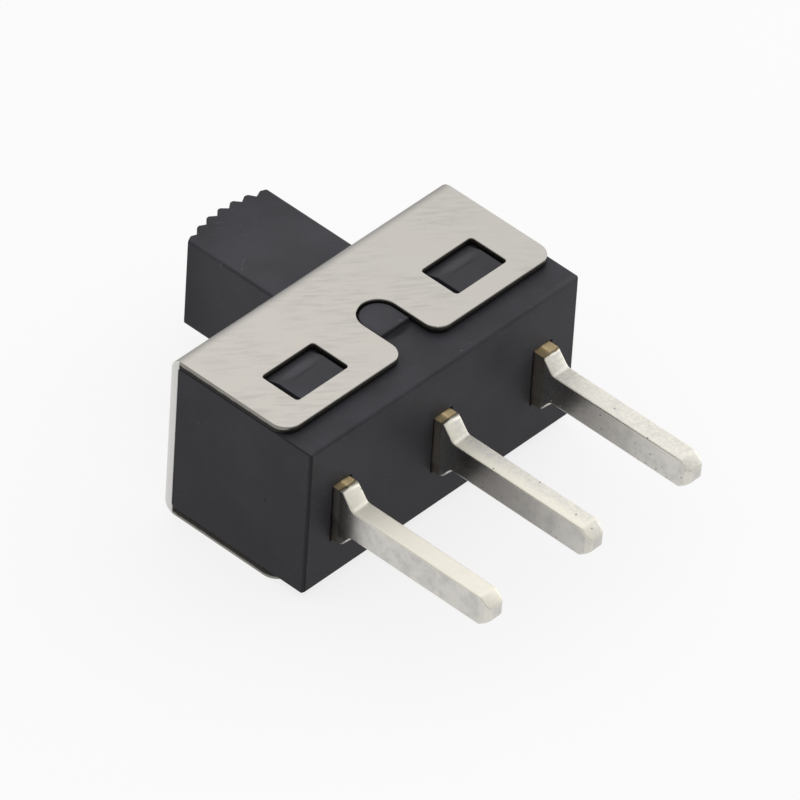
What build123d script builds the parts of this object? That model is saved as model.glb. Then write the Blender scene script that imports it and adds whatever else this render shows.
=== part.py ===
from build123d import *
import math
import os

os.makedirs("parts", exist_ok=True)

# A miniature slide switch that lies on one side flange of its cover.
# X runs along the slide, +Y comes out through the knob, -Y is the terminal side, +Z is up.
# The origin is the centre of the seating face, where the terminals leave. Sizes are in mm.

# overall
body_length = 12.7          # along X, the same for the moulding and the cover
body_width = 6.6            # along Z, over the two flanges
body_depth = 6.2            # along Y, seating face to the outside of the front plate
sheet = 0.3                 # thickness of the cover

# cover
flange_depth = 5.1          # from the outside of the front plate
flange_corner_r = 0.65
bend_r = 0.45               # outside radius of the folds
window_length = 2.4         # along X
window_depth = 1.6          # along Y
window_offset = 3.75        # centre of a window from the middle of the body
window_front = 2.65         # front edge of a window from the outside of the front plate
window_corner_r = 0.12
notch_width = 1.5
notch_length = 2.65         # from the flange's free edge
notch_mouth_r = 0.6

# housing
wall_side = 0.7             # beside the cavity, along Z
wall_end = 0.75             # at the ends of the cavity, along X
floor = 1.2                 # behind the cavity, along Y
housing_edge_r = 0.12
lug_height = 0.24
lug_gap = 0.18              # from a lug's ends to the window's ends
lug_ramp = 0.6              # length of a lug's slope along Y
lug_foot = 0.05             # height at which the slope starts
boss_height = 0.2
boss_gap = 0.06             # between the boss and the notch
boss_length = 1.4           # along Y

# terminals
pitch = 4.75
blade = 0.76                # thickness along X
blade_width = 1.2           # along Z
blade_z = -0.2              # middle of the blades
shoulder_width = 2.24
shoulder_run = 0.42         # the shoulder stands this far out of the seating face
neck_run = 0.42             # the shoulder narrows to the blade over this length
blade_length = 6.85         # from the seating face to the tip
tip_cut = 0.42              # the tip narrows over this length
tip_drop = 0.34             # and by this much on each edge
tip_side_cut = 0.12         # off the tip's two upright edges
slot_gap = 0.05             # around a blade in the floor
head = 0.3                  # thickness of the contact head on the floor
head_width = 1.9            # along Z
head_reach = 1.3            # from the blade's middle, towards the next terminal

# actuator
travel = 2.6                # from one stop to the other
knob_length = 3.8           # along X
knob_width = 3.6            # along Z
knob_out = 4.75             # from the front plate to the ends of the tip
knob_crown = 0.42           # the tip's middle stands this much further out
knob_edge_r = 0.1
knob_slot_gap = 0.12        # around the knob in the front plate
rib_pitch = 0.57
rib_count = 5
rib_depth = 0.2
rib_flat = 0.1              # left of the crown between two grooves
slide_gap = 0.12            # between the slider and what it runs in
stop_gap = 0.1              # left at either end of the travel
block_low = 0.25            # the slider's block ends this far above the contact heads
knob_root = 0.5             # the knob starts this deep in the slider's block

# contact bridge and its spring
bridge_sheet = 0.25
bridge_width = 1.5
bridge_bump_r = 0.3
bridge_end = 0.5            # from a bump's middle to the end of the strip
bridge_gap = 0.02           # between a bump and the head under it
bridge_clearance = 0.08     # around the strip in the slider
bridge_lift = 0.4           # room above the strip in the slider
contact_coil_r = 0.55       # middle of the wire
contact_wire = 0.18
contact_turns = 3
contact_pocket_depth = 0.8  # beyond the room above the strip
spring_gap = 0.02           # at each end of a spring

# detent
ball_r = 0.7
ball_gap = 0.03             # between a ball and the wall it runs along
ball_bore_gap = 0.05
detent_depth = 0.2          # depth of the hollow a ball drops into
detent_coil_r = 0.5
detent_wire = 0.18
detent_turns = 5
detent_from_front = 1.15    # from the slider's front face to the middle of the bore

# what follows from the sizes above
front = body_depth                                  # outside of the front plate
housing_front = front - sheet
housing_half = body_width / 2 - sheet               # to the outside of the moulding
cavity_half_z = housing_half - wall_side
cavity_half_x = body_length / 2 - wall_end
flange_edge = front - flange_depth
head_top = floor + head
knob_rest = travel / 2
block_half_x = cavity_half_x - travel / 2 - stop_gap
block_half_z = cavity_half_z - slide_gap
block_bottom = head_top + block_low
block_top = housing_front - slide_gap
bump_offset = pitch / 2
bridge_bottom = head_top + bridge_gap + bridge_bump_r
bridge_top = bridge_bottom + bridge_sheet
bridge_half = bump_offset + bridge_end
recess_top = bridge_top + bridge_lift
pocket_top = recess_top + contact_pocket_depth
bore_y = block_top - detent_from_front
ball_z = cavity_half_z - ball_gap - ball_r
over = 1.0                                          # a cutter runs past what it cuts by this


def box(x0, x1, y0, y1, z0, z1):
    """Returns a block between two corners."""
    centre = ((x0 + x1) / 2, (y0 + y1) / 2, (z0 + z1) / 2)
    return Pos(*centre) * Box(x1 - x0, y1 - y0, z1 - z0)


def plate(sketch, z0, z1):
    """Returns a sketch in X and Y raised from z0 to z1."""
    return extrude(Pos(0, 0, z0) * sketch, amount=z1 - z0)


def turned_over(shape):
    """Returns the shape mirrored to the other side of Z = 0."""
    return mirror(shape, about=Plane.XY)


def flange_outline():
    """Returns the outline of one flange with its windows and its notch."""
    half = body_length / 2
    outline = Pos(0, (front + flange_edge) / 2) * Rectangle(body_length, flange_depth)
    free_corners = outline.vertices().filter_by(lambda v: v.Y < front - flange_depth / 2)
    outline = fillet(free_corners, flange_corner_r)
    notch_r = notch_width / 2
    notch_end = flange_edge + notch_length
    straight = Pos(0, (flange_edge + notch_end - notch_r) / 2) * Rectangle(
        notch_width, notch_length - notch_r)
    notch = straight + Pos(0, notch_end - notch_r) * Circle(notch_r)
    outline = outline - notch
    mouth = outline.vertices().filter_by(
        lambda v: abs(v.Y - flange_edge) < 0.001 and abs(v.X) < half - flange_corner_r - 0.001)
    outline = fillet(mouth, notch_mouth_r)
    window_y = front - window_front - window_depth / 2
    for side in (-1, 1):
        window = RectangleRounded(window_length, window_depth, window_corner_r)
        outline = outline - Pos(side * window_offset, window_y) * window
    return outline


def cover():
    """Returns the folded sheet: front plate, two folds and two flanges."""
    half = body_length / 2
    flange_start = front - bend_r
    outer = box(-half, half, flange_edge, front, -body_width / 2, body_width / 2)
    folds = outer.edges().filter_by(Axis.X).filter_by(lambda e: e.center().Y > flange_start)
    outer = fillet(folds, bend_r)
    inner = box(-half - over, half + over, flange_edge - over, housing_front,
                -housing_half, housing_half)
    inside = inner.edges().filter_by(Axis.X).filter_by(lambda e: e.center().Y > flange_start)
    inner = fillet(inside, bend_r - sheet)
    shell = outer - inner
    flange_zone = box(-half - over, half + over, flange_edge - over, front + over,
                      housing_half, body_width)
    cut = flange_zone - plate(flange_outline(), housing_half - over, body_width + over)
    shell = shell - cut - turned_over(cut)
    slot_half_x = (knob_length + travel) / 2 + knob_slot_gap + stop_gap
    slot_half_z = knob_width / 2 + knob_slot_gap
    slot = box(-slot_half_x, slot_half_x, housing_front - over, front + over,
               -slot_half_z, slot_half_z)
    return shell - slot


def side_lug(side):
    """Returns one ramped lug on the upper side, with its steep face at the rear."""
    window_rear = front - window_front - window_depth
    window_start = front - window_front
    half = window_length / 2 - lug_gap
    root = housing_half - wall_side / 2
    top = housing_half + lug_height
    with BuildSketch(Plane.YZ.offset(side * window_offset - half)) as profile:
        with BuildLine():
            Polyline(
                (window_rear, root), (window_rear, top), (window_start - lug_ramp, top),
                (window_start, housing_half + lug_foot), (window_start, root), close=True)
        make_face()
    return extrude(profile.sketch, amount=2 * half)


def side_boss():
    """Returns the round-ended boss that stands in the cover's notch."""
    radius = notch_width / 2 - boss_gap
    tip = flange_edge + notch_length - boss_gap
    middle = tip - radius
    rear = tip - boss_length
    outline = Pos(0, middle) * Circle(radius)
    outline = outline + Pos(0, (rear + middle) / 2) * Rectangle(2 * radius, middle - rear)
    return plate(outline, housing_half - wall_side / 2, housing_half + boss_height)


def housing():
    """Returns the moulding: an open box with lugs, bosses and slots for the terminals."""
    half = body_length / 2
    body = box(-half, half, 0, housing_front, -housing_half, housing_half)
    front_edges = body.edges().filter_by(Axis.X).filter_by(lambda e: e.center().Y > floor)
    body = fillet(front_edges, bend_r - sheet)
    rear_edges = body.edges().group_by(Axis.Y)[0]
    body = fillet(rear_edges, housing_edge_r)
    cavity = box(-cavity_half_x, cavity_half_x, floor, front, -cavity_half_z, cavity_half_z)
    body = body - cavity
    for side in (-1, 1):
        lug = side_lug(side)
        body = body + lug + turned_over(lug)
    boss = side_boss()
    body = body + boss + turned_over(boss)
    for index in (-1, 0, 1):
        slot_x = blade / 2 + slot_gap
        slot_z = shoulder_width / 2 + slot_gap
        slot = box(-slot_x, slot_x, -over, floor + over, -slot_z, slot_z)
        body = body - Pos(index * pitch, 0, blade_z) * slot
    hollow_z = cavity_half_z - ball_r + detent_depth
    for x in (-knob_rest, knob_rest):
        hollow = Pos(x, bore_y, hollow_z) * Sphere(ball_r)
        body = body - hollow - turned_over(hollow)
    return body


def terminal(index):
    """Returns one blade with its shoulder, its narrowed tip and its contact head."""
    wide = shoulder_width / 2
    slim = blade_width / 2
    neck = -shoulder_run - neck_run
    with BuildSketch(Plane.YZ.offset(-blade / 2)) as profile:
        with BuildLine():
            Polyline(
                (floor, wide), (-shoulder_run, wide), (neck, slim),
                (tip_cut - blade_length, slim), (-blade_length, slim - tip_drop),
                (-blade_length, tip_drop - slim), (tip_cut - blade_length, -slim),
                (neck, -slim), (-shoulder_run, -wide), (floor, -wide), close=True)
        make_face()
    strip = extrude(profile.sketch, amount=blade)
    across = strip.edges().filter_by(Axis.X)
    necks = [edge for edge in across if abs(edge.center().Y - neck) < neck_run / 4]
    strip = fillet(necks, neck_run / 2)
    tip_corners = strip.edges().filter_by(Axis.Z).group_by(Axis.Y)[0]
    strip = chamfer(tip_corners, tip_side_cut)
    left = head_reach if index > -1 else blade / 2
    right = head_reach if index < 1 else blade / 2
    top = box(-left, right, floor, head_top, -head_width / 2, head_width / 2)
    blank = Pos(0, 0, blade_z) * strip + top
    return Pos(index * pitch, 0, 0) * blank


def rib_grooves():
    """Returns the V grooves across the knob's crowned tip, as cutters about X = 0."""
    radius = tip_radius()
    tip_centre = front + knob_out + knob_crown - radius
    half = (rib_pitch - rib_flat) / 2
    grooves = []
    for step in range(rib_count + 1):
        x = (step - rib_count / 2) * rib_pitch
        lean = math.degrees(math.asin(x / radius))
        outline = make_face(Polyline(
            (-2 * half, radius + rib_depth), (0, radius - rib_depth),
            (2 * half, radius + rib_depth), close=True))
        groove = plate(outline, -knob_width, knob_width)
        grooves.append(Pos(0, tip_centre, 0) * Rot(0, 0, -lean) * groove)
    return grooves


def tip_radius():
    """Returns the radius of the knob's crowned tip."""
    half = knob_length / 2
    return (half ** 2 + knob_crown ** 2) / (2 * knob_crown)


def knob():
    """Returns the knob about X = 0, from inside the slider's block to its ribbed tip."""
    half = knob_length / 2
    low = block_top - knob_root
    shoulder = front + knob_out
    peak = shoulder + knob_crown
    with BuildSketch() as profile:
        with BuildLine():
            ThreePointArc((-half, shoulder), (0, peak), (half, shoulder))
            Polyline((half, shoulder), (half, low), (-half, low), (-half, shoulder))
        make_face()
    blank = plate(profile.sketch, -knob_width / 2, knob_width / 2)
    blank = fillet(blank.edges().filter_by(Axis.Y), knob_edge_r)
    for groove in rib_grooves():
        blank = blank - groove
    return blank


def actuator():
    """Returns the slider with its knob, at the rest end of its travel."""
    block = box(-block_half_x, block_half_x, block_bottom, block_top, -block_half_z, block_half_z)
    recess_x = bridge_half + bridge_clearance
    recess_z = bridge_width / 2 + bridge_clearance
    recess = box(-recess_x, recess_x, block_bottom - over, recess_top, -recess_z, recess_z)
    pocket_r = contact_coil_r + contact_wire / 2 + bridge_clearance
    pocket_height = pocket_top - block_bottom
    pocket = Pos(0, pocket_top - pocket_height / 2, 0) * Rot(90, 0, 0) * Cylinder(
        pocket_r, pocket_height)
    bore = Pos(0, bore_y, 0) * Cylinder(ball_r + ball_bore_gap, 4 * block_half_z)
    blank = block + knob() - recess - pocket - bore
    return Pos(knob_rest, 0, 0) * blank


def contact_bridge():
    """Returns the strip with a bump under each end."""
    strip = box(-bridge_half, bridge_half, bridge_bottom, bridge_top,
                -bridge_width / 2, bridge_width / 2)
    for side in (-1, 1):
        round_bar = Cylinder(bridge_bump_r, bridge_width)
        lower_half = box(-bridge_bump_r, bridge_bump_r, -bridge_bump_r, 0,
                         -bridge_width, bridge_width)
        strip = strip + Pos(side * bump_offset, bridge_bottom, 0) * (round_bar & lower_half)
    return Pos(knob_rest, 0, 0) * strip


def coil(radius, wire, turns, length):
    """Returns a coil spring along Z, centred on the origin, that fills the length."""
    rise = length - wire
    path = Pos(0, 0, -rise / 2) * Helix(pitch=rise / turns, height=rise, radius=radius)
    section = Plane(origin=path @ 0, z_dir=path % 0) * Circle(wire / 2)
    return sweep(section, path=path, is_frenet=True)


def contact_spring():
    """Returns the spring between the bridge and the slider."""
    room = pocket_top - bridge_top
    middle = (pocket_top + bridge_top) / 2
    spring = coil(contact_coil_r, contact_wire, contact_turns, room - 2 * spring_gap)
    return Pos(knob_rest, middle, 0) * Rot(90, 0, 0) * spring


def detent_spring():
    """Returns the spring that pushes the two balls apart."""
    room = 2 * (ball_z - ball_r + ball_seat())
    spring = coil(detent_coil_r, detent_wire, detent_turns, room - 2 * spring_gap)
    return Pos(knob_rest, bore_y, 0) * spring


def ball_seat():
    """Returns how far a ball sits inside the end turn of its spring."""
    inside = detent_coil_r - detent_wire / 2
    return ball_r - math.sqrt(ball_r ** 2 - inside ** 2)


def detent_ball(side):
    """Returns one ball, beside the hollow it drops into."""
    return Pos(knob_rest, bore_y, side * ball_z) * Sphere(ball_r)


pieces = {
    "housing": housing(),
    "cover": cover(),
    "actuator": actuator(),
    "terminal_left": terminal(-1),
    "terminal_centre": terminal(0),
    "terminal_right": terminal(1),
    "contact_bridge": contact_bridge(),
    "contact_spring": contact_spring(),
    "detent_spring": detent_spring(),
    "detent_ball_upper": detent_ball(1),
    "detent_ball_lower": detent_ball(-1),
}
for name, shape in pieces.items():
    export_step(shape, f"parts/{name}.step")
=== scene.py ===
"""Looks of a miniature slide switch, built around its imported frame.

Every visible part of the switch is a softened copy of its frame node: the loose triangles are
joined, flat regions are merged and the edges get the small radii of stamped metal and moulded
plastic. The finishes are node materials on Object coordinates, worked out in millimetres.
"""

from __future__ import annotations

import logging
import math
from dataclasses import dataclass, field
from enum import Enum
from typing import Callable, Iterable, Sequence, Union

import bmesh
import bpy
from mathutils import Matrix, Vector


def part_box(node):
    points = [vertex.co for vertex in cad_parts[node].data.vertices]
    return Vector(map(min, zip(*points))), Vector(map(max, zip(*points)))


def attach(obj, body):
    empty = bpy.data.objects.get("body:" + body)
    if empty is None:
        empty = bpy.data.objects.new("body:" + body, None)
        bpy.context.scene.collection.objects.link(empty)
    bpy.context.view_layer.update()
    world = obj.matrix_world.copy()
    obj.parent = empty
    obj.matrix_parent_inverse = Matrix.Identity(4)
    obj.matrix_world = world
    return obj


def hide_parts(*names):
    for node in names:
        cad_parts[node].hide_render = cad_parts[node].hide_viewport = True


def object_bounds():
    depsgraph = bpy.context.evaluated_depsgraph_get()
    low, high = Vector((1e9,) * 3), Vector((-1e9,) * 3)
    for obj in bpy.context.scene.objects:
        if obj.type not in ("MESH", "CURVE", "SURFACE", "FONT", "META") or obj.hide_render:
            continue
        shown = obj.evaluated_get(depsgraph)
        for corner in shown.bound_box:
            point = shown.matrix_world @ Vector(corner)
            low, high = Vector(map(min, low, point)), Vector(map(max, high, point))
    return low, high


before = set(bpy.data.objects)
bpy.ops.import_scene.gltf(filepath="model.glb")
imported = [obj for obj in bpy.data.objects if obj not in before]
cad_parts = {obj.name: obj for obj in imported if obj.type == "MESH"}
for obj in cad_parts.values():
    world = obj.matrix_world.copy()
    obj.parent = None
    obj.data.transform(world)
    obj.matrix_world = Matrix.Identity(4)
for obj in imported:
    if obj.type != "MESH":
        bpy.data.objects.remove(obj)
cad_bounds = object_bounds()

LOG = logging.getLogger("slide_switch")
MM = 0.001
Colour = tuple[float, float, float]
Point = tuple[float, float, float]


class Body(Enum):
    """The two bodies of the switch."""

    CASE = "case"
    SLIDER = "slider"


class Slot(Enum):
    """The record's material slots."""

    MOULDING = "black_moulding"
    ACTUATOR = "black_actuator"
    SHEET = "nickel_sheet"
    TERMINAL = "tinned_brass"
    CONTACT = "contact_metal"
    SPRING = "spring_steel"


class Signal:
    """A value inside a material that can be written in expressions."""

    def __init__(self, bench: "Bench", socket: bpy.types.NodeSocket) -> None:
        """Keeps the socket that carries the value and the bench it belongs to."""
        self.bench = bench
        self.socket = socket

    def _maths(self, operation: str, first: "Value", second: "Value") -> "Signal":
        """Adds one Math node.

        Args:
            operation: the Math node's operation.
            first: the upper input.
            second: the lower input.

        Returns:
            The node's result.
        """
        return self.bench.node("ShaderNodeMath", {"operation": operation}, {0: first, 1: second})

    def __add__(self, other: "Value") -> "Signal":
        """Returns self + other."""
        return self._maths("ADD", self, other)

    def __radd__(self, other: "Value") -> "Signal":
        """Returns other + self."""
        return self._maths("ADD", other, self)

    def __sub__(self, other: "Value") -> "Signal":
        """Returns self - other."""
        return self._maths("SUBTRACT", self, other)

    def __rsub__(self, other: "Value") -> "Signal":
        """Returns other - self."""
        return self._maths("SUBTRACT", other, self)

    def __mul__(self, other: "Value") -> "Signal":
        """Returns self * other."""
        return self._maths("MULTIPLY", self, other)

    def __rmul__(self, other: "Value") -> "Signal":
        """Returns other * self."""
        return self._maths("MULTIPLY", other, self)

    def __abs__(self) -> "Signal":
        """Returns the value without its sign."""
        return self._maths("ABSOLUTE", self, 0.0)

    def most(self, other: "Value") -> "Signal":
        """Returns the larger of self and other."""
        return self._maths("MAXIMUM", self, other)

    def least(self, other: "Value") -> "Signal":
        """Returns the smaller of self and other."""
        return self._maths("MINIMUM", self, other)

    def rise(self, low: float, high: float) -> "Signal":
        """Turns the value into a soft step.

        Args:
            low: where the step is still 0.
            high: where the step has reached 1. It may be the smaller of the two.

        Returns:
            A value from 0 to 1.
        """
        settings = {"interpolation_type": "SMOOTHSTEP"}
        return self.bench.node(
            "ShaderNodeMapRange", settings, {"Value": self, "From Min": low, "From Max": high})


Value = Union[Signal, float]


class Bench:
    """Builds the node tree of one material."""

    def __init__(self, name: str) -> None:
        """Starts an empty material.

        Args:
            name: the material's name.
        """
        self.material = bpy.data.materials.new(name)
        self.material.use_nodes = True
        self.tree = self.material.node_tree
        self.tree.nodes.clear()
        position = self.node("ShaderNodeTexCoord", {}, {}, "Object")
        scaling = {"Vector": position, "Scale": (1 / MM, 1 / MM, 1 / MM)}
        self.place = self.node("ShaderNodeMapping", {}, scaling)
        split = {"Vector": self.place}
        self.x = self.node("ShaderNodeSeparateXYZ", {}, split, "X")
        self.y = self.node("ShaderNodeSeparateXYZ", {}, split, "Y")
        self.z = self.node("ShaderNodeSeparateXYZ", {}, split, "Z")

    def node(self, kind: str, settings: dict, inputs: dict, output: Union[str, int] = 0) -> Signal:
        """Adds any node.

        Args:
            kind: the node's type.
            settings: its own properties. "stops" holds a colour ramp's stops.
            inputs: values or signals by the name or number of the socket.
            output: the name or number of the output that is wanted.

        Returns:
            The signal of that output.
        """
        made = self.tree.nodes.new(kind)
        for key, value in settings.items():
            if key == "stops":
                self._set_stops(made.color_ramp, value)
            else:
                setattr(made, key, value)
        for key, value in inputs.items():
            if isinstance(value, Signal):
                self.tree.links.new(value.socket, made.inputs[key])
            else:
                made.inputs[key].default_value = value
        return Signal(self, made.outputs[output])

    @staticmethod
    def _set_stops(ramp: bpy.types.ColorRamp, stops: Sequence[tuple[float, Colour]]) -> None:
        """Writes the stops of a colour ramp, first to last."""
        while len(ramp.elements) < len(stops):
            ramp.elements.new(1.0)
        for element, (position, colour) in zip(ramp.elements, stops):
            element.position = position
            element.color = (*colour, 1.0)

    def stretched(self, scale: Point, turn: Point = (0.0, 0.0, 0.0)) -> Signal:
        """Returns the position, turned by degrees and then scaled along each axis."""
        angles = tuple(math.radians(angle) for angle in turn)
        turned = self.node("ShaderNodeMapping", {}, {"Vector": self.place, "Rotation": angles})
        return self.node("ShaderNodeMapping", {}, {"Vector": turned, "Scale": scale})

    def noise(self, scale: float, detail: float = 3.0, rough: float = 0.5,
              place: Signal | None = None) -> Signal:
        """Adds a noise.

        Args:
            scale: features per millimetre.
            detail: octaves.
            rough: weight of the finer octaves.
            place: the position it reads, if not the plain one.

        Returns:
            A value around 0.5.
        """
        inputs = {"Vector": place or self.place, "Scale": scale, "Detail": detail,
                  "Roughness": rough}
        return self.node("ShaderNodeTexNoise", {}, inputs, "Fac")

    def cells(self, scale: float, output: str = "Distance") -> Signal:
        """Returns a Voronoi pattern with so many cells per millimetre."""
        return self.node("ShaderNodeTexVoronoi", {}, {"Vector": self.place, "Scale": scale}, output)

    def specks(self, scale: float, size: float, share: float) -> Signal:
        """Scatters small round specks.

        Args:
            scale: cells per millimetre.
            size: radius of a speck as a share of its cell.
            share: how many of the cells hold one.

        Returns:
            1 inside a speck, 0 elsewhere.
        """
        near = self.cells(scale).rise(size, size * 0.5)
        pick = self.node("ShaderNodeSeparateColor", {}, {"Color": self.cells(scale, "Color")})
        return near * pick.rise(1 - share, 1 - share + 0.01)

    def spot(self, centre: Point, reach: Point, turn: Point = (0.0, 0.0, 0.0)) -> Signal:
        """Marks one blemish.

        Args:
            centre: its middle in millimetres.
            reach: its half sizes along its own axes in millimetres.
            turn: how far its axes are turned, in degrees.

        Returns:
            1 at the middle, falling to 0 at its edge.
        """
        shift = {"Vector": self.place, "Location": tuple(-c for c in centre)}
        moved = self.node("ShaderNodeMapping", {}, shift)
        angles = tuple(math.radians(angle) for angle in turn)
        turned = self.node("ShaderNodeMapping", {}, {"Vector": moved, "Rotation": angles})
        sized = {"Vector": turned, "Scale": tuple(1 / r for r in reach)}
        scaled = self.node("ShaderNodeMapping", {}, sized)
        far = self.node("ShaderNodeVectorMath", {"operation": "LENGTH"}, {0: scaled}, "Value")
        return far.rise(1.0, 0.45)

    def attribute(self, name: str) -> Signal:
        """Returns a value that the mesh carries."""
        return self.node("ShaderNodeAttribute", {"attribute_name": name}, {}, "Fac")

    def mix(self, share: Value, first: Union[Signal, Colour],
            second: Union[Signal, Colour]) -> Signal:
        """Mixes two colours.

        Args:
            share: how much of the second.
            first: the colour at 0.
            second: the colour at 1.

        Returns:
            The mixed colour.
        """
        made = self.tree.nodes.new("ShaderNodeMix")
        made.data_type = "RGBA"
        for number, value in ((0, share), (6, first), (7, second)):
            if isinstance(value, Signal):
                self.tree.links.new(value.socket, made.inputs[number])
            elif number == 0:
                made.inputs[number].default_value = value
            else:
                made.inputs[number].default_value = (*value, 1.0)
        return Signal(self, made.outputs[2])

    def bump(self, height: Signal, depth: float) -> Signal:
        """Returns a normal that a height of 1 lifts by so many millimetres."""
        return self.node(
            "ShaderNodeBump", {}, {"Height": height, "Distance": depth * MM, "Strength": 1.0})

    def finish(self, varying: dict, fixed: dict) -> bpy.types.Material:
        """Closes the material with one Principled shader.

        Args:
            varying: signals by socket name.
            fixed: plain values by socket name.

        Returns:
            The material.
        """
        shader = self.node("ShaderNodeBsdfPrincipled", {}, {**fixed, **varying})
        self.node_output(shader)
        return self.material

    def node_output(self, shader: Signal) -> None:
        """Sends the shader to the material's surface."""
        made = self.tree.nodes.new("ShaderNodeOutputMaterial")
        self.tree.links.new(shader.socket, made.inputs["Surface"])


@dataclass(frozen=True)
class Blemish:
    """One mark on a moulding, in millimetres: a real blemish, or a patch of painted light or painted
    shade.
    """

    centre: Point
    reach: Point
    turn: Point = (0.0, 0.0, 0.0)
    pale: bool = True
    strength: float = 0.75


@dataclass(frozen=True)
class Moulding:
    """Dry black moulded plastic with dust, scuffs and faint flow, painted shade towards the bottom
    and on the rounded edges, and marks that include painted light and shade.
    """

    name: str
    colour: Colour = (0.033, 0.033, 0.0405)
    dust_and_painted_light: Colour = (0.15, 0.155, 0.165)
    dark: Colour = (0.006, 0.006, 0.007)
    roughness: float = 0.5
    marks: tuple[Blemish, ...] = ()

    def make(self) -> bpy.types.Material:
        """Returns the material."""
        bench = Bench(self.name)
        rounded = bench.attribute("rounded")
        flow = bench.noise(0.5, 5.0, 0.6)
        grain = bench.noise(16.0, 4.0, 0.6)
        scuff = bench.noise(5.0, 2.0, 0.5, bench.stretched((0.25, 1.6, 1.0), (0, 0, 33)))
        scuffs = scuff.rise(0.64, 0.74) * bench.noise(0.9, 2.0).rise(0.5, 0.62)
        pale = bench.specks(1.6, 0.06, 0.1)
        dark = bench.specks(1.1, 0.06, 0.06)
        for mark in self.marks:
            shape = bench.spot(mark.centre, mark.reach, mark.turn) * mark.strength
            if mark.pale:
                pale = pale.most(shape)
            else:
                dark = dark.most(shape)
        tone = bench.mix(flow.rise(0.3, 0.7), tuple(c * 0.82 for c in self.colour),
                         tuple(c * 1.25 for c in self.colour))
        # Painted shade: the plastic darkens towards its lower side, from z = 3.2 down to -3.0 mm, by
        # up to half.
        tone = bench.mix(bench.z.rise(3.2, -3.0) * 0.5, tone, tuple(c * 0.5 for c in self.colour))
        tone = bench.mix(scuffs * 0.14, tone, self.dust_and_painted_light)
        # Pale specks are dust; the pale marks also hold painted light, such as the lighter patch on
        # the rear face and the highlight on the lug ramps.
        tone = bench.mix(pale * 0.55, tone, self.dust_and_painted_light)
        # Dark specks and nicks are dirt and damage; the dark marks also hold painted shade in gaps,
        # and the rounded edges are darkened as painted shade.
        tone = bench.mix(dark.most(rounded * 0.55) * 0.85, tone, self.dark)
        rough = self.roughness + (grain - 0.5) * 0.2 + pale * 0.2 + rounded * 0.1
        height = grain * 0.4 + flow * 0.8 + pale * 0.5 - dark * 1.2
        normal = bench.bump(height, 0.004)
        fixed = {"Specular IOR Level": 0.3}
        return bench.finish({"Base Color": tone, "Roughness": rough, "Normal": normal}, fixed)


@dataclass(frozen=True)
class NickelSheet:
    """Satin nickel plate with rolling marks, duller folds, two-tone sheared edges and painted shade
    on the folds, across the top and on the cut edges.
    """

    front: float
    half: float
    sheet: float
    fold: float
    name: str = "satin_nickel_sheet"
    face: Colour = (0.615, 0.59, 0.555)
    warm: Colour = (0.625, 0.59, 0.53)
    burnished: Colour = (0.34, 0.325, 0.29)
    smeared: Colour = (0.9, 0.89, 0.87)
    torn_and_shade: Colour = (0.045, 0.043, 0.04)
    roughness: float = 0.3
    lay: float = 38.0

    def make(self) -> bpy.types.Material:
        """Returns the material."""
        bench = Bench(self.name)
        cut = bench.attribute("cut")
        clouds = bench.noise(0.55, 3.0, 0.5)
        lay = bench.noise(3.4, 4.0, 0.6, bench.stretched((0.3, 1.9, 1.0), (0, 0, self.lay)))
        fine = bench.noise(12.0, 3.0, 0.6, bench.stretched((0.16, 2.0, 1.0), (0, 0, self.lay)))
        patch = bench.noise(0.42, 2.0).rise(0.35, 0.6)
        pits = bench.specks(4.0, 0.09, 0.08)
        tone = bench.mix(clouds, self.face, self.warm)
        # Painted shade: the plate darkens towards +X, standing in for its changing reflection.
        tone = bench.mix(bench.x.rise(-6.0, 7.0) * 0.5, tone, tuple(c * 0.88 for c in self.face))
        tone = bench.mix(lay.rise(0.42, 0.66) * patch * 0.3, tone, tuple(c * 0.6 for c in self.face))
        tone = bench.mix(pits * 0.35, tone, (0.22, 0.2, 0.17))
        folded = (bench.y.rise(self.front - self.fold - 0.12, self.front - self.sheet * 0.6)
                  * abs(bench.z).rise(self.half - self.fold - 0.12, self.half - self.sheet * 0.6))
        # Painted shade: the fold band is darkened, standing in for the dim horizon it reflects; its
        # higher roughness is real.
        tone = bench.mix(folded * 0.62, tone, (0.24, 0.235, 0.23))
        inner = (self.front - bench.y).least(self.half - abs(bench.z))
        ragged = inner + (bench.noise(4.0, 3.0, 0.6) - 0.5) * 0.08
        shear = ragged.rise(self.sheet * 0.3, self.sheet * 0.55)
        ends = bench.y.rise(self.front - self.sheet * 1.3, self.front - self.sheet)
        # Two-tone cut edges: burnished near the outer face and torn below; the torn zone is darkened
        # almost to black as painted shade under the sheet's edges and in its windows.
        edge = bench.mix(shear, self.burnished, self.torn_and_shade)
        edge = bench.mix(ends, edge, self.smeared)
        tone = bench.mix(cut, tone, edge)
        rough = (self.roughness + (fine - 0.5) * 0.14 + (lay - 0.5) * patch * 0.2
                 + cut * shear * 0.3 + folded * 0.08)
        height = fine * 0.25 + lay * patch * 1.1 + clouds * 0.8 - pits * 0.4 - shear * cut * 2.0
        normal = bench.bump(height, 0.0035)
        return bench.finish({"Base Color": tone, "Roughness": rough, "Normal": normal},
                            {"Metallic": 1.0})


@dataclass(frozen=True)
class BrassAndShade:
    """Where a blade shows bare brass and how painted shade darkens it towards its root, in
    millimetres from the body.

    Attributes:
        bare: how far the brass shows.
        reach: where the painted shade ends, past the bare stretch.
        hold: how far the painted shade stays full.
        depth: how dark the painted shade gets.
        lift: how much of the painted shade is taken back right beside the body.
    """

    bare: float = 0.3
    reach: float = 0.8
    hold: float = 0.0
    depth: float = 0.72
    lift: float = 0.0


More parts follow.
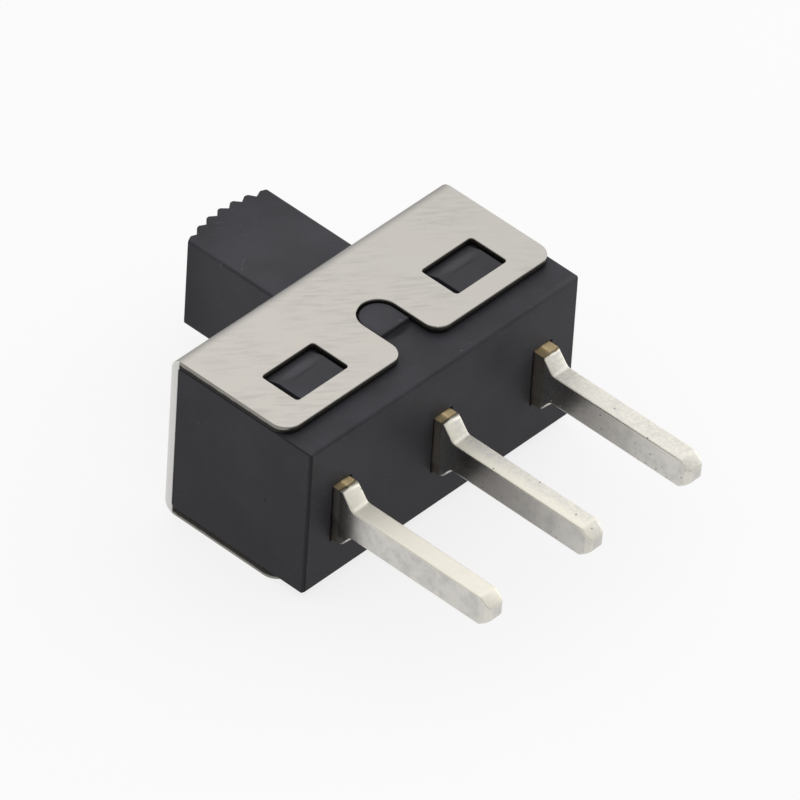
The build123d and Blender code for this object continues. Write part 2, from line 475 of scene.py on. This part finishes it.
@dataclass(frozen=True)
class TinnedBlade:
    """Bright tin over brass: finely grained, pitted, with bare brass at the root, painted highlights
    on the tops and rounded edges, and painted shade on the sides towards the root.
    """

    name: str
    middle: float
    brass_and_shade: BrassAndShade = BrassAndShade()
    tin: Colour = (0.84, 0.815, 0.765)
    highlight_cream: Colour = (1.0, 0.96, 0.84)
    grey: Colour = (0.66, 0.645, 0.615)
    brass: Colour = (0.84, 0.66, 0.37)
    painted_shade_grey: Colour = (0.23, 0.215, 0.2)
    soot: Colour = (0.06, 0.052, 0.045)

    def make(self) -> bpy.types.Material:
        """Returns the material."""
        bench = Bench(self.name)
        top = bench.attribute("top")
        rounded = bench.attribute("rounded")
        clouds = bench.noise(1.6, 4.0, 0.6)
        ripple = bench.noise(2.4, 3.0, 0.55, bench.stretched((1.0, 0.45, 1.0)))
        grain = bench.noise(9.0, 4.0, 0.65)
        low = bench.z.rise(0.1, -0.75)
        pits = bench.specks(3.4, 0.15, 0.13).most(bench.specks(5.2, 0.2, 0.26) * low)
        line = bench.y + (bench.noise(2.2, 2.0) - 0.5) * 0.14
        edge = -self.brass_and_shade.bare
        bare = line.rise(edge - 0.02, edge + 0.02)
        lip = bare * (1 - line.rise(edge + 0.03, edge + 0.09))
        # Side faces; the lowest corner of the shoulder is left out of the painted shade, so it stays
        # bright as a glint.
        side = (1 - top) * (1 - bench.z.rise(-0.92, -1.08))
        kept = 1 - line.rise(edge - 1.3, edge - 0.1) * self.brass_and_shade.lift
        root_shade = line.rise(edge - 0.75, edge + 0.1) * side * kept
        # Painted shade: the sides darken towards the root, standing in for the dark body that the
        # tin reflects there.
        reflected_shade = line.rise(edge - self.brass_and_shade.reach, edge - self.brass_and_shade.hold) * side * kept
        reflected_shade = reflected_shade * (1 - rounded * 0.5) * self.brass_and_shade.depth
        # Painted highlight: a creamy crest over the top face's -X half.
        top_highlight = (bench.x - self.middle).rise(0.12, -0.22) * top
        tone = bench.mix(clouds.rise(0.42, 0.72) * (1 - top * 0.6), self.tin, self.grey)
        # Painted highlights: creamy sparkle of the grain on the top faces, and a creamy line on the
        # rounded edges.
        tone = bench.mix(grain.rise(0.4, 0.66) * top * 0.7, tone, self.highlight_cream)
        tone = bench.mix(top_highlight * 0.75, tone, self.highlight_cream)
        tone = bench.mix(rounded * 0.4, tone, self.highlight_cream)
        tone = bench.mix(pits * 0.8, tone, (0.2, 0.19, 0.18))
        tone = bench.mix(bare, tone, self.brass)
        # Painted shade on the sides: towards the root and next to the bare stretch.
        tone = bench.mix(reflected_shade, tone, self.painted_shade_grey)
        tone = bench.mix(root_shade * 0.35, tone, self.painted_shade_grey)
        # Painted shade on the sides of the bare brass.
        tone = bench.mix(bare * (1 - top) * 0.9, tone, self.painted_shade_grey)
        tone = bench.mix(lip * top * 0.75, tone, self.soot)
        rough = 0.2 + clouds * 0.12 + top * 0.14 + grain * top * 0.2 + bare * 0.2 + pits * 0.25
        height = ripple * 1.1 + grain * (top * 0.45 + 0.08) - pits * 0.8 - bare * top * 1.5
        normal = bench.bump(height, 0.0055)
        metal = 1 - top * 0.25 - bare * top * 0.4
        return bench.finish({"Base Color": tone, "Roughness": rough, "Metallic": metal,
                             "Normal": normal}, {})


@dataclass(frozen=True)
class PlainMetal:
    """Plain drawn or stamped metal for the hidden mechanism."""

    name: str
    colour: Colour
    roughness: float = 0.28

    def make(self) -> bpy.types.Material:
        """Returns the material."""
        bench = Bench(self.name)
        clouds = bench.noise(1.5, 3.0, 0.5)
        grain = bench.noise(12.0, 3.0, 0.6)
        tone = bench.mix(clouds, self.colour, tuple(c * 0.8 for c in self.colour))
        rough = self.roughness + (grain - 0.5) * 0.16
        normal = bench.bump(grain, 0.001)
        return bench.finish({"Base Color": tone, "Roughness": rough, "Normal": normal},
                            {"Metallic": 1.0})


@dataclass
class Softened:
    """A copy of a frame node with joined faces and rounded edges.

    The rounding isn't clamped: beside short edges the clamp shrinks it everywhere to almost
    nothing. Each radius therefore has to fit the finest detail that is in reach. An angle of
    sharpest lies above the 30 degrees between a rounding's own faces, so that a second pass
    leaves the first one alone.
    """

    node: str
    segments: int = 3
    sharpest: float = 34.0
    shape: bmesh.types.BMesh = field(init=False)

    def __post_init__(self) -> None:
        """Copies the node's mesh, joins its loose triangles and merges flat regions."""
        self.shape = bmesh.new()
        self.shape.from_mesh(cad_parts[self.node].data)
        bmesh.ops.remove_doubles(self.shape, verts=self.shape.verts, dist=0.0002 * MM)
        bmesh.ops.dissolve_limit(
            self.shape, angle_limit=math.radians(0.6), verts=self.shape.verts,
            edges=self.shape.edges)

    def thin_out(self, apart: float, reach: Callable[[Vector], bool]) -> None:
        """Merges crowded vertices, which a rounding wider than their spacing would fold over.

        Args:
            apart: the distance below which vertices are merged, in millimetres.
            reach: says whether a vertex at a place, in millimetres, may be merged.
        """
        crowded = [vertex for vertex in self.shape.verts if reach(vertex.co / MM)]
        bmesh.ops.remove_doubles(self.shape, verts=crowded, dist=apart * MM)

    def soften(self, radius: float, reach: Callable[[Vector], bool] = lambda place: True) -> None:
        """Rounds the sharp edges in reach, and marks the new faces.

        Args:
            radius: how far the rounding reaches from an edge, in millimetres.
            reach: says whether an edge with its middle at a place, in millimetres, is rounded.
        """
        limit = math.radians(self.sharpest)
        sharp = [edge for edge in self.shape.edges
                 if len(edge.link_faces) == 2 and edge.calc_face_angle() > limit
                 and reach((edge.verts[0].co + edge.verts[1].co) / 2 / MM)]
        made = bmesh.ops.bevel(
            self.shape, geom=sharp, offset=radius * MM, offset_type="OFFSET",
            segments=self.segments, profile=0.5, affect="EDGES", clamp_overlap=False, material=-1)
        rounded = set(made["faces"])
        self.mark("rounded", lambda face: face in rounded)

    def mark(self, name: str, chosen: Callable[[bmesh.types.BMFace], bool]) -> None:
        """Writes a value of 1 on the corners of the chosen faces. The others start at 0.

        Args:
            name: the attribute's name.
            chosen: says which faces are marked.
        """
        layers = self.shape.loops.layers.float
        layer = layers.get(name) or layers.new(name)
        for face in filter(chosen, self.shape.faces):
            for loop in face.loops:
                loop[layer] = 1.0

    def piece(self, name: str, material: bpy.types.Material) -> bpy.types.Object:
        """Turns the shape into an object.

        Args:
            name: the piece's name.
            material: its finish.

        Returns:
            The piece, in place of the node.
        """
        for face in self.shape.faces:
            face.smooth = True
        mesh = bpy.data.meshes.new(name)
        self.shape.to_mesh(mesh)
        self.shape.free()
        mesh.materials.append(material)
        made = bpy.data.objects.new(name, mesh)
        bpy.context.scene.collection.objects.link(made)
        weigh = made.modifiers.new("even_normals", "WEIGHTED_NORMAL")
        weigh.keep_sharp = True
        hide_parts(self.node)
        return made


def hand_over(piece: bpy.types.Object, body: Body, slot: Slot) -> None:
    """Rides a piece on its body and reports it.

    Args:
        piece: the piece.
        body: what it moves with.
        slot: the record's material slot; not used.
    """
    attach(piece, body.value)
    LOG.info("%s: %d faces, rides on %s", piece.name, len(piece.data.polygons), body.value)


@dataclass
class Cover:
    """The folded sheet-metal cover."""

    sheet: float = 0.3
    fold: float = 0.45
    edge_radius: float = 0.045

    def build(self) -> bpy.types.Object:
        """Returns the cover with rounded, marked edges."""
        low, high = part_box("cover")
        front = high[1] / MM
        made = Softened("cover")
        made.soften(self.edge_radius)

        def sheared(face: bmesh.types.BMFace) -> bool:
            """Says whether a face is a cut through the sheet."""
            way = face.normal
            place = face.calc_center_median() / MM
            if abs(way.x) > 0.5:
                return True
            if place.y < front - self.fold:
                return abs(way.y) > 0.5
            return abs(way.z) > 0.5 and abs(place.z) < high[2] / MM - self.fold * 2

        made.mark("cut", sheared)
        finish = NickelSheet(front, high[2] / MM, self.sheet, self.fold)
        return made.piece("cover_sheet", finish.make())


@dataclass
class Housing:
    """The moulded body."""

    edge_radius: float = 0.045
    lug_radius: float = 0.02
    crowded: float = 0.06
    outer_band: float = 0.29
    mitre_band: float = 0.39
    skin: float = 0.14
    lug_place: float = 3.75
    lug_half: float = 1.1
    marks: tuple[Blemish, ...] = (
        Blemish((-6.35, 1.84, -0.05), (0.1, 0.09, 0.13), (20, 0, 0), pale=False, strength=1.0),
        Blemish((-6.35, 1.32, 0.9), (0.1, 0.045, 0.045)),
        Blemish((-6.35, 4.9, 1.3), (0.1, 0.07, 0.05)),
        Blemish((-6.35, 0.5, -2.64), (0.1, 0.03, 0.24), (48, 0, 0), strength=0.4),
        Blemish((-5.88, 0.0, 0.63), (0.5, 0.1, 0.022), (0, -50, 0), strength=0.45),
        Blemish((-5.6, 0.0, 0.95), (0.3, 0.1, 0.02), (0, -42, 0), strength=0.35),
        Blemish((-2.47, 0.0, -0.18), (0.06, 0.1, 0.05)),
        Blemish((-0.75, 0.0, -1.68), (0.08, 0.1, 0.05), (0, -40, 0)),
        Blemish((2.69, 0.0, -1.15), (0.08, 0.1, 0.04), (0, -30, 0), strength=0.6),
        Blemish((0.89, 0.18, 3.0), (0.06, 0.05, 0.1)),
        # Painted light: a broad lighter patch over the right of the rear face.
        Blemish((6.6, 0.0, 0.6), (4.4, 0.4, 4.4), strength=0.3),
        Blemish((0.0, 3.0, 3.2), (0.9, 0.9, 0.3), strength=0.14),
        # Painted shade: the dark gap in front of the boss, under the sheet.
        Blemish((0.1, 2.16, 3.0), (0.62, 0.13, 0.12), pale=False, strength=0.9),
        Blemish((0.36, 2.42, 3.2), (0.09, 0.05, 0.1), (0, 0, 30)),
        Blemish((-0.2, 2.5, 3.2), (0.05, 0.05, 0.1), strength=0.5),
    )

    def _outer(self, place: Vector) -> tuple[bool, bool, bool]:
        """Says whether a place is on a side, on an end and on the rear of the body."""
        low, high = (Vector(corner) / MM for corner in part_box("housing"))
        return (abs(place.z) > high.z - self.outer_band,
                abs(place.x) > high.x - self.skin, place.y < low.y + self.skin)

    def shows(self, place: Vector) -> bool:
        """Says whether a place is on the outside of the body rather than in its cavity."""
        return any(self._outer(place))

    def on_mitre(self, place: Vector) -> bool:
        """Says whether a place is where the rounded rear edges meet at a corner."""
        side = abs(place.z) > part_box("housing")[1][2] / MM - self.mitre_band
        _, end, rear = self._outer(place)
        return side and end and rear

    def on_lug(self, place: Vector) -> bool:
        """Says whether a place is on a lug, whose foot is too low for the body's rounding."""
        across = abs(abs(place.x) - self.lug_place) < self.lug_half
        return across and place.y > 1.0 and abs(place.z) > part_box("housing")[1][2] / MM - 0.26

    def lug_light_and_shade(self) -> Iterable[Blemish]:
        """Yields a painted highlight on each lug's ramp and the painted shade in the gap beside it.
        """
        for across in (-self.lug_place, self.lug_place):
            for face in (-3.15, 3.15):
                # Painted highlight on the ramp.
                yield Blemish((across, 3.04, face), (1.1, 0.24, 0.4), strength=0.36)
                # Painted shade in the gap.
                yield Blemish((across, 2.76, face), (0.95, 0.06, 0.4), pale=False, strength=0.6)

    def build(self) -> bpy.types.Object:
        """Returns the body with rounded edges."""
        made = Softened("housing")
        made.thin_out(self.crowded, self.on_mitre)
        made.soften(self.edge_radius, lambda place: self.shows(place) and not self.on_lug(place))
        made.soften(self.lug_radius, self.on_lug)
        marks = (*self.marks, *self.lug_light_and_shade())
        return made.piece("housing_body", Moulding("black_body_plastic", marks=marks).make())


@dataclass
class Actuator:
    """The slider with its ribbed knob."""

    edge_radius: float = 0.035
    marks: tuple[Blemish, ...] = (
        Blemish((-0.04, 8.96, 1.8), (0.3, 0.022, 0.1), (0, 0, -28), strength=0.6),
        Blemish((-0.42, 8.68, 1.8), (0.28, 0.022, 0.1), (0, 0, -41), strength=0.6),
        Blemish((-0.6, 9.44, 1.7), (0.1, 0.07, 0.1)),
        Blemish((1.9, 9.9, 1.8), (0.06, 0.05, 0.1), strength=0.4),
    )

    def build(self) -> bpy.types.Object:
        """Returns the slider with rounded edges."""
        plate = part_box("housing")[1][1] / MM
        made = Softened("actuator")
        made.soften(self.edge_radius, lambda place: place.y > plate)
        finish = Moulding("black_knob_plastic", colour=(0.031, 0.0312, 0.039), marks=self.marks)
        return made.piece("slider_knob", finish.make())


@dataclass
class Terminals:
    """The three solder terminals, each with its own stretch of bare brass and its own painted shade
    towards the root.
    """

    edge_radius: float = 0.08
    brass_and_shade_of: dict[str, BrassAndShade] = field(default_factory=lambda: {
        "terminal_left": BrassAndShade(0.26, 1.7),
        "terminal_centre": BrassAndShade(0.3, 8.0, 1.0, 1.0, 0.7),
        "terminal_right": BrassAndShade(0.42, 6.0, 1.0, 0.85, 0.7)})

    def build(self) -> Iterable[bpy.types.Object]:
        """Yields the terminals with rounded edges."""
        for node, brass_and_shade in self.brass_and_shade_of.items():
            made = Softened(node)
            made.soften(self.edge_radius, lambda place: place.y < 0.0)
            made.mark("top", lambda face: face.normal.z > 0.35)
            low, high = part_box(node)
            finish = TinnedBlade(f"tinned_{node}", (low[0] + high[0]) / 2 / MM, brass_and_shade)
            yield made.piece(f"{node}_blade", finish.make())


@dataclass
class Mechanism:
    """The hidden contact and detent, which keep their frame nodes."""

    finishes: dict[str, PlainMetal] = field(default_factory=lambda: {
        "contact_bridge": PlainMetal("bridge_brass", (0.8, 0.66, 0.4)),
        "contact_spring": PlainMetal("contact_wire", (0.56, 0.56, 0.57)),
        "detent_spring": PlainMetal("detent_wire", (0.56, 0.56, 0.57)),
        "detent_ball_upper": PlainMetal("upper_ball_steel", (0.6, 0.6, 0.61), 0.12),
        "detent_ball_lower": PlainMetal("lower_ball_steel", (0.6, 0.6, 0.61), 0.12)})

    def dress(self) -> None:
        """Gives each hidden node its own finish."""
        for node, finish in self.finishes.items():
            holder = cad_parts[node]
            holder.data.materials.clear()
            holder.data.materials.append(finish.make())
            LOG.info("%s: %s", node, finish.name)


@dataclass
class Studio:
    """The pale floor, the soft light and the camera."""

    azimuth: float = -49.29
    elevation: float = 41.56
    roll: float = 3.76
    distance: float = 410.6
    aim: Point = (1.3, 3.0, -1.21)
    lens: float = 566.5
    floor_reach: float = 3000.0
    floor_shown: float = 0.97
    floor_bounce: float = 0.3
    seen_glow: float = 0.8
    mirrored_glow: float = 0.62
    key_way: Point = (0.35, 0.42, 0.84)
    sky_low: float = 0.45
    sky_high: float = 1.0

    def floor(self) -> bpy.types.Object:
        """Returns the floor that the switch lies on."""
        shape = bmesh.new()
        bmesh.ops.create_circle(shape, cap_ends=True, segments=96, radius=self.floor_reach * MM)
        bmesh.ops.translate(shape, verts=shape.verts, vec=(0, 0, cad_bounds[0][2]))
        mesh = bpy.data.meshes.new("floor")
        shape.to_mesh(mesh)
        shape.free()
        made = bpy.data.objects.new("floor", mesh)
        bpy.context.scene.collection.objects.link(made)
        mesh.materials.append(self._floor_finish())
        return made

    def _floor_finish(self) -> bpy.types.Material:
        """Returns a pale matt finish that reads as white and keeps the shadow."""
        bench = Bench("pale_floor")
        seen = bench.node("ShaderNodeLightPath", {}, {}, "Is Camera Ray")
        grey = bench.mix(seen, (self.floor_bounce,) * 3, (self.floor_shown,) * 3)
        matt = bench.node("ShaderNodeBsdfDiffuse", {}, {"Color": grey})
        glow = bench.node("ShaderNodeEmission", {}, {"Color": (1.0, 1.0, 1.0, 1.0)})
        share = seen * self.seen_glow
        for ray in ("Is Glossy Ray", "Is Transmission Ray"):
            mirrored = bench.node("ShaderNodeLightPath", {}, {}, ray)
            share = share.most(mirrored * self.mirrored_glow)
        both = bench.node("ShaderNodeMixShader", {}, {0: share, 1: matt, 2: glow})
        bench.node_output(both)
        return bench.material

    def sky(self) -> None:
        """Sets a soft sky: bright overhead, quieter towards the horizon, white to the camera."""
        world = bpy.data.worlds.new("soft_sky")
        bpy.context.scene.world = world
        world.use_nodes = True
        tree = world.node_tree
        tree.nodes.clear()
        where = tree.nodes.new("ShaderNodeTexCoord")
        facing = tree.nodes.new("ShaderNodeVectorMath")
        facing.operation = "DOT_PRODUCT"
        facing.inputs[1].default_value = Vector(self.key_way).normalized()
        ramp = tree.nodes.new("ShaderNodeValToRGB")
        ramp.color_ramp.interpolation = "EASE"
        for element, place, level in zip(
                ramp.color_ramp.elements, (0.0, 0.85), (self.sky_low, self.sky_high)):
            element.position = place
            element.color = (level, level, level, 1.0)
        path = tree.nodes.new("ShaderNodeLightPath")
        mix = tree.nodes.new("ShaderNodeMix")
        mix.data_type = "RGBA"
        mix.inputs[7].default_value = (1.0, 1.0, 1.0, 1.0)
        shade = tree.nodes.new("ShaderNodeBackground")
        out = tree.nodes.new("ShaderNodeOutputWorld")
        tree.links.new(where.outputs["Generated"], facing.inputs[0])
        tree.links.new(facing.outputs["Value"], ramp.inputs[0])
        tree.links.new(ramp.outputs[0], mix.inputs[6])
        tree.links.new(path.outputs["Is Camera Ray"], mix.inputs[0])
        tree.links.new(mix.outputs[2], shade.inputs["Color"])
        tree.links.new(shade.outputs[0], out.inputs["Surface"])

    def lamp(self, name: str, place: Point, size: float, level: float) -> None:
        """Hangs one square soft lamp that faces the switch.

        Args:
            name: the lamp's name.
            place: where it hangs, in millimetres.
            size: the length of its side, in millimetres.
            level: the brightness of its face.
        """
        light = bpy.data.lights.new(name, "AREA")
        light.size = size * MM
        light.energy = level * math.pi * light.size ** 2
        made = bpy.data.objects.new(name, light)
        made.location = Vector(place) * MM
        made.rotation_euler = Vector(place).to_track_quat("Z", "Y").to_euler()
        bpy.context.scene.collection.objects.link(made)

    def camera(self) -> None:
        """Sets the camera at its long distance, with a slight roll."""
        turn, rise, roll = (math.radians(v) for v in (self.azimuth, self.elevation, self.roll))
        back = Vector((math.sin(turn) * math.cos(rise), -math.cos(turn) * math.cos(rise),
                       math.sin(rise)))
        right = Vector((math.cos(turn), math.sin(turn), 0.0))
        up = back.cross(right)
        rolled_right = right * math.cos(roll) + up * math.sin(roll)
        rolled_up = back.cross(rolled_right)
        place = Vector(self.aim) * MM + back * self.distance * MM
        data = bpy.data.cameras.new("camera")
        data.lens = self.lens
        data.clip_start = self.distance * MM * 0.2
        data.clip_end = self.floor_reach * MM * 3
        made = bpy.data.objects.new("camera", data)
        turned = Matrix((rolled_right, rolled_up, back)).transposed().to_4x4()
        made.matrix_world = Matrix.Translation(place) @ turned
        bpy.context.scene.collection.objects.link(made)
        bpy.context.scene.camera = made

    def build(self) -> None:
        """Sets the whole studio up."""
        bpy.context.scene.view_settings.view_transform = "Standard"
        self.floor()
        self.sky()
        self.lamp("side_lamp", (80.0, -24.0, 16.0), 44.0, 2.0)
        self.camera()


def main() -> None:
    """Builds the switch and its studio, piece by piece."""
    logging.basicConfig(level=logging.INFO, format="%(name)s: %(message)s")
    hand_over(Cover().build(), Body.CASE, Slot.SHEET)
    hand_over(Housing().build(), Body.CASE, Slot.MOULDING)
    hand_over(Actuator().build(), Body.SLIDER, Slot.ACTUATOR)
    for blade in Terminals().build():
        hand_over(blade, Body.CASE, Slot.TERMINAL)
    Mechanism().dress()
    Studio().build()


if __name__ == "__main__":
    main()
